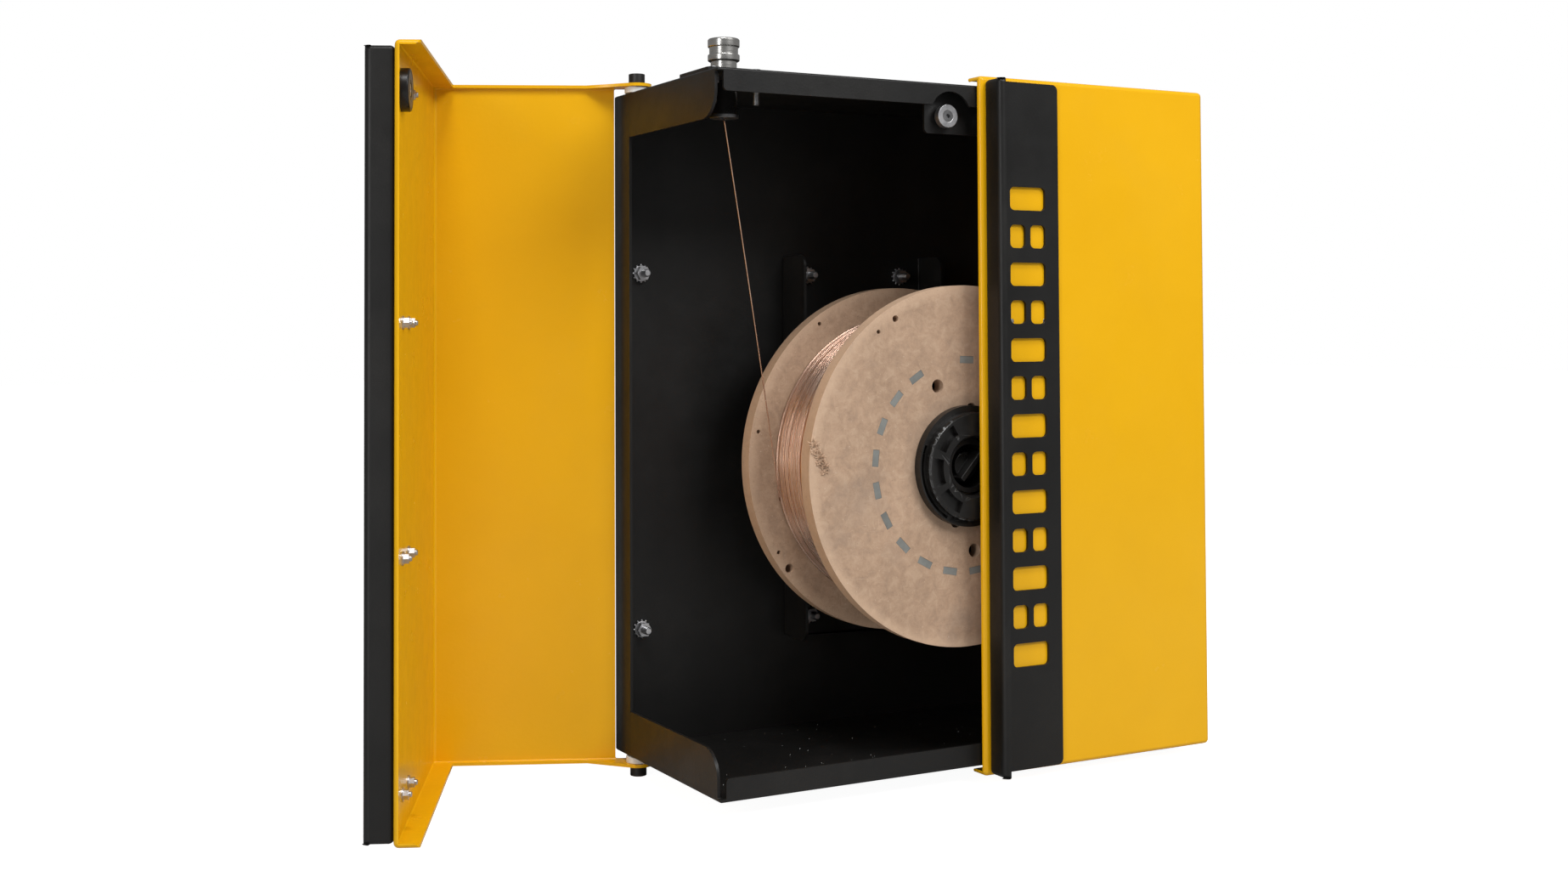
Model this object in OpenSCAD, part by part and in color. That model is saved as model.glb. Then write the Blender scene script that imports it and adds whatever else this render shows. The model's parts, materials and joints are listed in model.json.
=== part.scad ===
// Wire reel enclosure: folded steel frame, two hinged L-shaped doors and a braked reel hub.
// Millimetres, +Z up, front towards -Y. The origin is the centre of the four wall studs,
// on the rear face of the back panel.

/* [Frame] */
// Width of the frame
frame_w = 554; // [540:1:580]
// Height of the frame
frame_h = 650; // [630:1:680]
// Depth of the frame
frame_d = 230; // [225:1:250]
// Thickness of every folded sheet
sheet = 3; // [2.5:0.5:3]
// Depth of the back panel's side returns
return_d = 37.5; // [30:0.5:45]
// Height of the side flanges on both trays
side_flange_h = 44; // [35:1:55]
// Height of the front flanges on both trays
front_flange_h = 21; // [18:1:24]
// Spacing of the wall studs, across
wall_studs_w = 498; // [480:1:510]
// Spacing of the wall studs and the bracket studs, up
wall_studs_h = 356; // [340:1:380]
// Height of the wall stud pattern's centre above the underside
origin_h = 295; // [285:1:310]

/* [Doors] */
// Gap between the door flanges and the trays
door_gap = 6; // [5:0.5:7]
// Gap between the frame's front and the inside of the doors
door_front_gap = 4; // [4:0.5:6]
// Gap between the frame's sides and the inside of the doors
door_side_gap = 2.8; // [2:0.1:4]
// Gap between the two free edges
door_split = 3; // [2:0.5:4]
// Distance of the hinge axes from the frame's sides
hinge_in = 10; // [10:0.5:12]
// Distance of the hinge axes from the rear face
hinge_back = 34; // [32:1:38]
// How far the left door stands open
left_open = 114; // [0:1:114]
// How far the right door stands open
right_open = 0; // [0:1:114]
// Depth of the bars bent up on the handle strips
handle_rise = 25.5; // [20:0.5:30]

/* [Reel] */
// Radius of the reel flanges
reel_r = 174; // [165:1:175]
// Width of the reel over its flanges
reel_w = 133; // [130:1:140]
// Thickness of one reel flange
flange_t = 15; // [10:1:18]
// Outer radius of the wound wire
winding_r = 145; // [110:1:165]
// Distance of the reel's front face behind the frame's front
reel_front = 20; // [20:1:24]
// Height of the reel axis from the origin
reel_z = -11; // [-20:1:0]

/* [Outlet] */
// Distance of the outlet from the left side
outlet_in = 39; // [36:1:60]
// Distance of the outlet from the frame's front
outlet_front = 64; // [60:1:120]
// Diameter of the feed wire
wire_d = 1.2; // [1:0.1:3]

/* [Hidden] */
$fn = 64;

// Frame planes
half_w = frame_w / 2;
front_y = -frame_d;
floor_z = -origin_h;
top_z = frame_h - origin_h;
fit = 0.05;             // running clearance on a pin
clear = 0.3;            // clearance between bodies that turn past each other

// Doors, drawn closed for the right-hand side and mirrored for the left
door_in_y = front_y - door_front_gap;
door_out_y = door_in_y - sheet;
door_in_x = half_w + door_side_gap;
door_out_x = door_in_x + sheet;
door_top_z = top_z + door_gap + sheet;
door_bottom_z = floor_z - door_gap - sheet;
door_h = door_top_z - door_bottom_z;
door_rear_y = -56.5;      // rear edge of the side panel
door_flange_w = 22;     // flange along the front panel, with the sheet
side_lip_w = 7;         // flange along the side panel, with the sheet
tab_start_y = -84;      // where the side lip widens into the hinge tab
tab_r = 14.5;
fold_r = 6;             // outer radius of the vertical fold
hinge_x = half_w - hinge_in;
hinge_y = -hinge_back;
hinge_r = 5;
hinge_head_r = 8;
hinge_head_h = 10;

// Catch
catch_x = 27;
catch_z = 324.5;
magnet_r = 18.5;
magnet_h = 8;
notch_r = 23;
strike_r = 11;
strike_front_y = front_y + 5;
strike_plate_y = front_y + 16;

// Handle strips, right-hand side
handle_x1 = 6.5;
handle_x2 = 92;
handle_z1 = -301.6;
handle_z2 = 359.4;
handle_lip_w = 7;
slot_x1 = 34;
slot_x2 = 76;
slot_z1 = -211;
slot_z2 = 265;
slot_cells = 13;
handle_rows = [-268.5, -71, 128, 327];    // heights of the stud rows
handle_cols = [37, 77];                 // distances of the stud columns from the centre
handle_stud_r = 2.5;

// Spool bracket and spindle
bracket_w = 172;
bracket_h = 397;
bracket_d = 46;
bracket_studs_w = 115;
wall_stud_r = 4;
stud_thread_r = 3.7;    // the threaded ends in front of the rear face
spindle_flange_r = 45;
spindle_flange_y = -14;
spindle_r = 10;
spindle_end_y = -178;
thread_r = 8;
brake_y = -18;
hub_r = 25.7;
hub_bore_r = 14;
hub_front_y = -218;
hub_shoulder_r = 62;
reel_bore_r = 26;
reel_front_y = front_y + reel_front;
reel_rear_y = reel_front_y + reel_w;
stave_r = 102;
stave_count = 21;
stave_phase = 2.6;      // angle of the first slat
stave_missing = 6;      // this place has neither a slat nor its slots
cap_front_y = -227;
cap_r = 58.2;
cap_ring_r = 52;
lug_r = 27.6;
lug_y1 = -218;
lug_y2 = -214;
drive_r = 55;
drive_angle = 82;

// Outlet
outlet_x = outlet_in - half_w;
outlet_y = front_y + outlet_front;
outlet_plate_w = 64;
outlet_plate_t = 5;
outlet_holes = 44;
outlet_core_r = 12.25;
outlet_bore_r = 6;
outlet_top_z = top_z + 36.4;

// Feed wire: straight from the eyelet to where it meets the winding
wire_from = [outlet_x, outlet_y, 318];
wire_run_r = winding_r + wire_d / 2 + clear;
wire_bearing = atan2(wire_from[2] - reel_z, wire_from[0]);
wire_span = norm([wire_from[0], wire_from[2] - reel_z]);
wire_touch = wire_bearing + acos(wire_run_r / wire_span);
wire_end_y = -95;

black = "#1b1b1c";
yellow = "#f2b705";
zinc = "#b9bcc0";
tan_board = "#b89a72";

// ---------- shared shapes ----------

// Round bar along +Y from y1 to y2
module bar_y(x, z, y1, y2, r) {
    translate([x, y1, z]) rotate([-90, 0, 0]) cylinder(r = r, h = y2 - y1);
}

// Round bar along +Z from z1 to z2
module bar_z(x, y, z1, z2, r) {
    translate([x, y, z1]) cylinder(r = r, h = z2 - z1);
}

// Hexagonal bar along +Y, across flats af
module hex_y(x, z, y1, y2, af) {
    translate([x, y1, z]) rotate([-90, 0, 0]) cylinder(r = af / sqrt(3), h = y2 - y1, $fn = 6);
}

// Block between two corners
module block(x1, y1, z1, x2, y2, z2) {
    translate([x1, y1, z1]) cube([x2 - x1, y2 - y1, z2 - z1]);
}

// Ring about an axis along +Y through (0, reel_z)
module hub_ring(y1, y2, r_in, r_out) {
    difference() {
        bar_y(0, reel_z, y1, y2, r_out);
        bar_y(0, reel_z, y1 - 1, y2 + 1, r_in);
    }
}

// Sector of a ring about the reel axis, from angle a0 over sweep a (anticlockwise from the front)
module hub_sector(y1, y2, r_in, r_out, a0, a) {
    translate([0, y2, reel_z]) rotate([90, 0, 0]) rotate([0, 0, a0])
        rotate_extrude(angle = a) translate([r_in, 0]) square([r_out - r_in, y2 - y1]);
}

// Rectangle with its four corners rounded
module round_rect(w, h, r) {
    translate([r, 0]) square([w - 2 * r, h]);
    translate([0, r]) square([w, h - 2 * r]);
    for (x = [r, w - r]) {
        for (y = [r, h - r]) translate([x, y]) circle(r = r);
    }
}

// Repeats the children at the four corners of a rectangle in the XZ plane
module four_xz(w, h) {
    for (x = [-w / 2, w / 2]) {
        for (z = [-h / 2, h / 2]) translate([x, 0, z]) children();
    }
}

// Stands the children, drawn closed on the right, at both doors' places
module left_side(angle) {
    translate([-hinge_x, hinge_y, 0]) rotate([0, 0, -angle]) translate([hinge_x, -hinge_y, 0])
        mirror([1, 0, 0]) children();
}

module right_side(angle) {
    translate([hinge_x, hinge_y, 0]) rotate([0, 0, angle]) translate([-hinge_x, -hinge_y, 0])
        children();
}

// ---------- frame ----------

module back_panel() {
    color(black) difference() {
        union() {
            block(-half_w, -sheet, floor_z, half_w, 0, top_z);
            for (x = [-half_w, half_w - sheet]) {
                block(x, -return_d, floor_z + sheet, x + sheet, -sheet, top_z - sheet);
            }
        }
        four_xz(wall_studs_w, wall_studs_h)
            bar_y(0, 0, -sheet - 1, 1, wall_stud_r + fit);
    }
}

// Outline of a tray's side flange in (depth, height), the plate's top at height 0
module side_flange_outline(r) {
    depth = frame_d - return_d - 6;
    translate([6, -side_flange_h + r]) square([depth, side_flange_h - r]);
    translate([6 + r, -side_flange_h]) square([depth - r, r + 1]);
    intersection() {
        translate([6 + r, -side_flange_h + r]) circle(r = r);
        translate([6, -side_flange_h]) square(r);
    }
}

// Outline of a tray's front flange in (across, height), the plate's top at height 0
module front_flange_outline(r) {
    w = frame_w - 12;
    translate([-w / 2, -front_flange_h + r]) square([w, front_flange_h - r]);
    translate([-w / 2 + r, -front_flange_h]) square([w - 2 * r, r + 1]);
    for (x = [-w / 2 + r, w / 2 - r]) translate([x, -front_flange_h + r]) circle(r = r);
}

// A tray seen from above, its outer face at height 0, flanges hanging down
module tray_shell() {
    translate([-half_w, front_y, -sheet]) cube([frame_w, frame_d - sheet, sheet]);
    translate([0, front_y + sheet, 0]) rotate([90, 0, 0])
        linear_extrude(sheet) front_flange_outline(4);
    for (x = [-half_w, half_w - sheet]) {
        translate([x, front_y, 0]) rotate([90, 0, 90])
            linear_extrude(sheet) side_flange_outline(26);
    }
}

module top_tray() {
    color(black) difference() {
        translate([0, 0, top_z]) tray_shell();
        for (s = [-1, 1]) {
            bar_y(s * catch_x, catch_z, front_y - 1, front_y + sheet + 1, notch_r);
            bar_z(s * hinge_x, hinge_y, top_z - sheet - 1, top_z + 1, hinge_r + fit);
        }
        bar_z(outlet_x, outlet_y, top_z - sheet - 1, top_z + 1, 10);
        outlet_screw_places() cylinder(r = 3 + clear, h = sheet + 2);
    }
}

module bottom_tray() {
    color(black) difference() {
        translate([0, 0, floor_z]) mirror([0, 0, 1]) tray_shell();
        for (s = [-1, 1]) {
            bar_z(s * hinge_x, hinge_y, floor_z - 1, floor_z + sheet + 1, hinge_r + fit);
        }
    }
}

// ---------- catch ----------

module strike_bracket() {
    bracket_half = 47;
    color(black) difference() {
        union() {
            translate([-bracket_half, strike_plate_y + sheet, catch_z - strike_r - 5])
                rotate([90, 0, 0]) linear_extrude(sheet)
                    round_rect(2 * bracket_half, top_z - sheet - catch_z + strike_r + 5, 5);
            block(-bracket_half, strike_plate_y, top_z - 2 * sheet,
                bracket_half, strike_plate_y + 32, top_z - sheet);
        }
        for (s = [-1, 1]) {
            bar_y(s * catch_x, catch_z, strike_plate_y - 1, strike_plate_y + 4, 3 + fit);
        }
    }
}

module strike_buttons() {
    color(zinc) for (s = [-1, 1]) {
        difference() {
            union() {
                bar_y(s * catch_x, catch_z, strike_front_y, strike_front_y + 7, strike_r);
                bar_y(s * catch_x, catch_z, strike_front_y + 7, strike_plate_y, 7);
            }
            bar_y(s * catch_x, catch_z, strike_front_y - 1, strike_plate_y + 1, 3 + fit);
            translate([s * catch_x, strike_front_y, catch_z]) rotate([-90, 0, 0])
                translate([0, 0, -0.01]) cylinder(r1 = 6, r2 = 3, h = 3);
        }
    }
}

module strike_screws() {
    color("#55585c") for (s = [-1, 1]) {
        difference() {
            union() {
                bar_y(s * catch_x, catch_z, strike_front_y + 3, strike_plate_y + 9, 3);
                translate([s * catch_x, strike_front_y + 0.2, catch_z]) rotate([-90, 0, 0])
                    cylinder(r1 = 5.75, r2 = 2.95, h = 2.8);
            }
            hex_y(s * catch_x, catch_z, strike_front_y - 1, strike_front_y + 2.5, 4);
        }
        hex_y(s * catch_x, catch_z, strike_plate_y + sheet, strike_plate_y + 8, 10);
    }
}

// ---------- spool bracket and wall fixings ----------

module spool_bracket() {
    color(black) difference() {
        union() {
            block(-bracket_w / 2, -2 * sheet, -bracket_h / 2, bracket_w / 2, -sheet, bracket_h / 2);
            for (x = [-bracket_w / 2, bracket_w / 2 - sheet]) {
                translate([x, -sheet - bracket_d, -bracket_h / 2]) rotate([90, 0, 90])
                    linear_extrude(sheet) union() {
                        translate([12, 0]) square([bracket_d - 12, bracket_h]);
                        translate([0, 12]) square([bracket_d, bracket_h - 24]);
                        for (z = [12, bracket_h - 12]) translate([12, z]) circle(r = 12);
                    }
            }
        }
        four_xz(bracket_studs_w, wall_studs_h)
            bar_y(0, 0, -2 * sheet - 1, -sheet + 1, stud_thread_r + fit);
        for (a = [45 : 90 : 315]) spindle_screw_place(a) bar_y(0, 0, -7, -2, 3 + fit);
    }
}

module stud_set(y1, y2) {
    bar_y(0, 0, y1 + 1.5, y2, stud_thread_r);
    translate([0, y1 + 1.5, 0]) rotate([90, 0, 0])
        cylinder(r1 = stud_thread_r, r2 = 2.8, h = 1.5);
}

module washer_set(y1) {
    difference() {
        bar_y(0, 0, y1, y1 + 1.6, 8);
        bar_y(0, 0, y1 - 1, y1 + 3, stud_thread_r + clear);
    }
}

module nut_set(y1) {
    difference() {
        hex_y(0, 0, y1, y1 + 6.5, 13);
        bar_y(0, 0, y1 - 1, y1 + 8, stud_thread_r + fit);
    }
}

module bracket_studs() {
    color(zinc) four_xz(bracket_studs_w, wall_studs_h) stud_set(-24, -sheet);
}

module bracket_washers() {
    color(zinc) four_xz(bracket_studs_w, wall_studs_h) washer_set(-2 * sheet - 1.6);
}

module bracket_nuts() {
    color(zinc) four_xz(bracket_studs_w, wall_studs_h) nut_set(-2 * sheet - 8.1);
}

module wall_studs() {
    color(zinc) four_xz(wall_studs_w, wall_studs_h) {
        stud_set(-20, 0);
        bar_y(0, 0, 0, 20.5, wall_stud_r);
        translate([0, 20.5, 0]) rotate([-90, 0, 0]) cylinder(r1 = wall_stud_r, r2 = 2.8, h = 1.5);
    }
}

module wall_washers() {
    color(zinc) four_xz(wall_studs_w, wall_studs_h) washer_set(-sheet - 1.6);
}

module wall_nuts() {
    color(zinc) four_xz(wall_studs_w, wall_studs_h) nut_set(-sheet - 8.1);
}

// ---------- hinges ----------

module hinge_screws() {
    color(black) for (s = [-1, 1]) {
        difference() {
            union() {
                bar_z(s * hinge_x, hinge_y, top_z - 14, door_top_z, hinge_r);
                bar_z(s * hinge_x, hinge_y, door_top_z, door_top_z + hinge_head_h, hinge_head_r);
            }
            translate([s * hinge_x, hinge_y, door_top_z + 5])
                cylinder(r = 8 / sqrt(3), h = hinge_head_h, $fn = 6);
        }
        difference() {
            union() {
                bar_z(s * hinge_x, hinge_y, door_bottom_z, floor_z + 14, hinge_r);
                bar_z(s * hinge_x, hinge_y, door_bottom_z - hinge_head_h, door_bottom_z,
                    hinge_head_r);
            }
            translate([s * hinge_x, hinge_y, door_bottom_z - 5 - hinge_head_h])
                cylinder(r = 8 / sqrt(3), h = hinge_head_h, $fn = 6);
        }
    }
}

module hinge_spacers() {
    color("#e9ebec") for (s = [-1, 1]) {
        for (z = [top_z, floor_z - door_gap + 0.1]) difference() {
            bar_z(s * hinge_x, hinge_y, z, z + door_gap - 0.1, 12);
            bar_z(s * hinge_x, hinge_y, z - 1, z + door_gap + 1, hinge_r + fit);
        }
    }
}

module hinge_weld_nuts() {
    color(black) for (s = [-1, 1]) {
        for (z = [top_z - sheet - 10, floor_z + sheet]) difference() {
            bar_z(s * hinge_x, hinge_y, z, z + 10, 6.8);
            bar_z(s * hinge_x, hinge_y, z - 1, z + 11, hinge_r + fit);
        }
    }
}

// ---------- spindle and brake ----------

module spindle_screw_place(a) {
    translate([35 * cos(a), 0, reel_z + 35 * sin(a)]) children();
}

module spindle() {
    color(zinc) difference() {
        union() {
            bar_y(0, reel_z, spindle_flange_y, -2 * sheet, spindle_flange_r);
            bar_y(0, reel_z, spindle_end_y, spindle_flange_y, spindle_r);
            bar_y(0, reel_z, spindle_end_y - 28, spindle_end_y, thread_r);
        }
        for (a = [45 : 90 : 315]) spindle_screw_place(a) bar_y(0, 0, -15, -5, 3 + fit);
    }
}

module spindle_screws() {
    color("#55585c") for (a = [45 : 90 : 315]) spindle_screw_place(a) {
        bar_y(0, 0, spindle_flange_y, -sheet, 3);
        bar_y(0, 0, spindle_flange_y - 4, spindle_flange_y, 5);
    }
}

module brake_washer() {
    color("#6e4a32") hub_ring(brake_y, spindle_flange_y, spindle_r + fit, 27);
}

module thrust_washer() {
    color(zinc) hub_ring(spindle_end_y - 3, spindle_end_y - clear, thread_r + fit, 16);
}

// Four dished washers, back to back
module brake_springs() {
    color(zinc) for (i = [0 : 3]) {
        y1 = spindle_end_y - 3 - 3.5 * (i + 1);
        flip = i % 2;
        translate([0, y1, reel_z]) rotate([-90, 0, 0]) rotate_extrude() polygon([
            [thread_r + 0.1, flip * 1.5], [15, (1 - flip) * 1.5],
            [15, (1 - flip) * 1.5 + 2], [thread_r + 0.1, flip * 1.5 + 2]]);
    }
}

// Adjusting knob on the thread: a boss with a grip bar across it
module brake_knob() {
    y2 = spindle_end_y - 17.3;
    color(black) difference() {
        union() {
            bar_y(0, reel_z, y2 - 16, y2, 13);
            translate([0, 0, reel_z]) rotate([0, -48, 0])
                block(-17, y2 - 27, -2.5, 17, y2 - 8, 2.5);
        }
        bar_y(0, reel_z, y2 - 12, y2 + 1, thread_r + fit);
    }
}

// ---------- hub ----------

module hub_sleeve() {
    color(black) difference() {
        union() {
            bar_y(0, reel_z, hub_front_y, brake_y - clear, hub_r);
            bar_y(0, reel_z, reel_rear_y, reel_rear_y + 8, hub_shoulder_r);
            for (a = [90 : 120 : 330]) hub_sector(lug_y1, lug_y2, hub_r - 1, lug_r, a - 18, 36);
        }
        bar_y(0, reel_z, hub_front_y - 1, 0, hub_bore_r);
        bar_y(0, reel_z, hub_front_y - 1, spindle_end_y, 21);
        drive_place() bar_y(0, 0, reel_rear_y - 1, reel_rear_y + 9, 5);
    }
}

module hub_bushes() {
    color("#c9a15a") for (y = [brake_y - clear - 20, spindle_end_y]) {
        hub_ring(y, y + 20, spindle_r + fit, hub_bore_r);
    }
}

module drive_place() {
    translate([drive_r * cos(drive_angle), 0, reel_z + drive_r * sin(drive_angle)]) children();
}

module drive_pin() {
    color(zinc) drive_place() bar_y(0, 0, reel_rear_y - 11, reel_rear_y + 8, 5);
}

// Bayonet cap: a stepped disc with finger pockets, slots for the sleeve's lugs behind the recess
module hub_cap() {
    rear_y = reel_front_y - clear;
    skirt_y = rear_y - 9;
    ledge_y = lug_y2 + clear;
    color(black) difference() {
        union() {
            bar_y(0, reel_z, skirt_y, rear_y, cap_r);
            bar_y(0, reel_z, cap_front_y + 2, skirt_y, cap_ring_r);
            translate([0, cap_front_y, reel_z]) rotate([-90, 0, 0])
                cylinder(r1 = cap_ring_r - 2, r2 = cap_ring_r, h = 2);
        }
        bar_y(0, reel_z, cap_front_y - 1, rear_y + 1, hub_r + clear);
        bar_y(0, reel_z, cap_front_y - 1, ledge_y, lug_r + clear);
        translate([0, cap_front_y - 0.01, reel_z]) rotate([-90, 0, 0])
            cylinder(r1 = lug_r + clear + 2, r2 = lug_r + clear, h = 2);
        for (a = [30 : 120 : 270]) {
            hub_sector(ledge_y - 1, rear_y + 1, hub_r, lug_r + clear, a - 20, 40);
        }
        for (turn = [0, 180]) {
            for (a = [122, 168, 212]) {
                hub_sector(cap_front_y - 1, cap_front_y + 5.5, 36.5, 47.5, a + turn, 35);
            }
            hub_sector(skirt_y - 1, skirt_y + 5, 53.8, 56.4, 157 + turn, 83);
        }
    }
}

// ---------- reel ----------

module stave_place(i) {
    translate([0, 0, reel_z]) rotate([0, -stave_phase - i * 360 / stave_count, 0]) children();
}

module stave_slots() {
    for (i = [0 : stave_count - 1]) {
        if (i != stave_missing) {
            stave_place(i) block(stave_r - 3.5, reel_front_y - 1, -8,
                stave_r + 3.5, reel_rear_y + 1, 8);
        }
    }
}

module reel_hole(r, a, hole_r, y1, y2) {
    bar_y(r * cos(a), reel_z + r * sin(a), y1, y2, hole_r);
}

module reel_flange(y1) {
    difference() {
        bar_y(0, reel_z, y1, y1 + flange_t, reel_r);
        bar_y(0, reel_z, y1 - 1, y1 + flange_t + 1, reel_bore_r);
        stave_slots();
        for (a = [drive_angle, drive_angle + 176]) {
            reel_hole(drive_r, a, 5.5, y1 - 1, y1 + flange_t + 1);
        }
        for (a = [112, 277]) reel_hole(83, a, 6.5, y1 - 1, y1 + flange_t + 1);
    }
}

module reel_front_flange() {
    color(tan_board) difference() {
        reel_flange(reel_front_y);
        for (h = [[119, 3.2], [127, 2]]) {
            reel_hole(162, h[0], h[1], reel_front_y - 1, reel_front_y + flange_t + 1);
        }
    }
}

module reel_rear_flange() {
    color(tan_board) difference() {
        reel_flange(reel_rear_y - flange_t);
        for (h = [[124, 2], [169, 2], [212, 2], [219, 4.5]]) {
            reel_hole(166, h[0], h[1], reel_rear_y - flange_t - 1, reel_rear_y + 1);
        }
    }
}

// Slats that tie the two flanges together
module reel_staves() {
    color("#8d8c86") for (i = [0 : stave_count - 1]) {
        if (i != stave_missing) {
            stave_place(i) block(stave_r - 3.5, reel_front_y + 0.2, -8,
                stave_r + 3.5, reel_rear_y - 0.2, 8);
        }
    }
}

module copper_winding() {
    color("#d98a5f") hub_ring(reel_front_y + flange_t, reel_rear_y - flange_t,
        stave_r + 4.2, winding_r);
}

// Eight-sided straight wire from the eyelet to the winding
module feed_wire() {
    end = [wire_run_r * cos(wire_touch), wire_end_y, reel_z + wire_run_r * sin(wire_touch)];
    run = end - wire_from;
    ahead = run / norm(run);
    side = cross(ahead, [0, 1, 0]) / norm(cross(ahead, [0, 1, 0]));
    up = cross(side, ahead);
    r = wire_d / 2;
    rings = 12;
    pts = [for (i = [0 : rings]) for (k = [0 : 7])
        wire_from + run * i / rings + r * (cos(45 * k) * side + sin(45 * k) * up)];
    walls = [for (i = [0 : rings - 1]) for (k = [0 : 7])
        [8 * i + k, 8 * i + (k + 1) % 8, 8 * i + 8 + (k + 1) % 8, 8 * i + 8 + k]];
    first = [[for (k = [7 : -1 : 0]) k]];
    last = [[for (k = [0 : 7]) 8 * rings + k]];
    color("#c98a63") polyhedron(points = pts, faces = concat(walls, first, last));
}

// ---------- outlet ----------

module outlet_screw_places() {
    for (x = [-outlet_holes / 2, outlet_holes / 2]) {
        for (y = [-outlet_holes / 2, outlet_holes / 2]) {
            translate([outlet_x + x, outlet_y + y, top_z - sheet - 1]) children();
        }
    }
}

module outlet_plate() {
    color(black) difference() {
        translate([outlet_x - outlet_plate_w / 2, outlet_y - outlet_plate_w / 2, top_z])
            linear_extrude(outlet_plate_t) round_rect(outlet_plate_w, outlet_plate_w, 5);
        bar_z(outlet_x, outlet_y, top_z - 1, top_z + 6, 8 + fit);
        translate([0, 0, sheet]) outlet_screw_places() cylinder(r = 3 + fit, h = 8);
    }
}

module outlet_screws() {
    color(zinc) outlet_screw_places() {
        translate([0, 0, -23]) difference() {
            cylinder(r = 3, h = 24 + sheet + outlet_plate_t);
            translate([0, 0, 22 + sheet + outlet_plate_t])
                cylinder(r = 4 / sqrt(3), h = 4, $fn = 6);
        }
        translate([0, 0, 1 + sheet + outlet_plate_t]) difference() {
            cylinder(r1 = 5.25, r2 = 4.6, h = 1.5);
            translate([0, 0, -1]) cylinder(r = 4 / sqrt(3), h = 4, $fn = 6);
        }
    }
}

module outlet_nuts() {
    color(zinc) outlet_screw_places() translate([0, 0, -4]) difference() {
        cylinder(r = 10 / sqrt(3), h = 5, $fn = 6);
        translate([0, 0, -1]) cylinder(r = 3 + fit, h = 8);
    }
}

module outlet_body() {
    color("#c9c9c6") difference() {
        union() {
            bar_z(outlet_x, outlet_y, top_z + outlet_plate_t, outlet_top_z - 2, outlet_core_r);
            bar_z(outlet_x, outlet_y, top_z - 7, top_z + outlet_plate_t, 8);
        }
        bar_z(outlet_x, outlet_y, top_z - 8, outlet_top_z, outlet_bore_r);
    }
}

// Sliding collar: two grip rings with a waist between them
module release_collar() {
    inner = outlet_core_r + clear;
    h = 21.5;
    color("#d0d0cd") translate([outlet_x, outlet_y, outlet_top_z - h]) rotate_extrude()
        polygon([[inner, 0], [13.2, 0], [14.9, 1.2], [14.9, 6.2], [14.4, 6.8], [13.45, 6.8],
            [13.45, 13.6], [14.4, 13.6], [14.9, 14.2], [14.9, h - 1.2], [13.9, h], [inner, h]]);
}

// Tapered spout below the tray
module wire_guide() {
    color(black) translate([outlet_x, outlet_y, 0]) rotate_extrude() polygon([
        [8 + fit, top_z - 7], [8 + fit, top_z], [9.95, top_z], [9.95, top_z - 6],
        [13.4, top_z - 34.6], [10.6, top_z - 34.6], [outlet_bore_r, top_z - 7.5],
        [outlet_bore_r, top_z - 7]]);
}

module guide_eyelet() {
    color("#8f8d88") translate([outlet_x, outlet_y, top_z - 37.7]) rotate_extrude() polygon([
        [4.5, 0], [13.6, 0], [13.6, 3.1], [5.5, 3.1], [4.5, 2.1]]);
}

// ---------- doors ----------

// Plan of the folded panel: front panel, rounded fold, side panel
module door_plan() {
    x1 = door_split / 2;
    translate([x1, door_out_y]) square([door_out_x - fold_r - x1, sheet]);
    translate([door_in_x, door_out_y + fold_r]) square([sheet, door_rear_y - door_out_y - fold_r]);
    intersection() {
        translate([door_out_x - fold_r, door_out_y + fold_r]) difference() {
            circle(r = fold_r);
            circle(r = fold_r - sheet);
        }
        translate([door_out_x - fold_r, door_out_y]) square(fold_r);
    }
}

// Plan of a top or bottom flange with its hinge tab
module flange_plan() {
    x1 = door_split / 2;
    difference() {
        union() {
            translate([x1, door_out_y]) square([door_out_x - fold_r - x1, door_flange_w]);
            translate([door_out_x - side_lip_w, door_out_y + fold_r])
                square([side_lip_w, door_rear_y - door_out_y - fold_r]);
            translate([door_out_x - fold_r, door_out_y + fold_r]) circle(r = fold_r);
            polygon([[door_out_x, tab_start_y], [door_out_x - side_lip_w, tab_start_y],
                [hinge_x - tab_r, hinge_y - 3], [hinge_x, hinge_y],
                [hinge_x + tab_r, hinge_y + 3], [door_out_x, door_rear_y]]);
            translate([hinge_x, hinge_y]) circle(r = tab_r);
        }
        translate([hinge_x, hinge_y]) circle(r = hinge_r + fit);
    }
}

module door() {
    difference() {
        union() {
            translate([0, 0, door_bottom_z]) linear_extrude(door_h) door_plan();
            for (z = [door_bottom_z, door_top_z - sheet]) {
                translate([0, 0, z]) linear_extrude(sheet) flange_plan();
            }
        }
        handle_stud_places() bar_y(0, 0, door_out_y - 1, door_in_y + 1, handle_stud_r + fit);
        bar_y(catch_x, catch_z, door_out_y - 1, door_in_y + 1, 3 + fit);
    }
}

// Stud places of a handle strip; the magnet takes the second place of the top row
module handle_stud_places() {
    for (z = handle_rows) {
        for (x = handle_cols) {
            if (z != handle_rows[3] || x != handle_cols[0]) translate([x, 0, z]) children();
        }
    }
}

// Slots of a handle strip: one long slot and one split slot in turn
module handle_slots() {
    pitch = (slot_z2 - slot_z1) / slot_cells;
    slot_h = pitch * 0.62;
    half = (slot_x2 - slot_x1 - 6) / 2;
    for (i = [0 : slot_cells - 1]) {
        z = slot_z1 + pitch * (i + 0.5) - slot_h / 2;
        if (i % 2 == 0) {
            translate([slot_x1, z]) round_rect(slot_x2 - slot_x1, slot_h, 5);
        } else {
            for (x = [slot_x1, slot_x2 - half]) translate([x, z]) round_rect(half, slot_h, 5);
        }
    }
}

// Outline of the lip along the handle strip, its two free corners rounded
module lip_outline(w, h) {
    intersection() {
        square([w, h]);
        union() {
            translate([0, w]) square([w, h - 2 * w]);
            for (z = [w, h - w]) translate([0, z]) circle(r = w);
        }
    }
}

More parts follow.
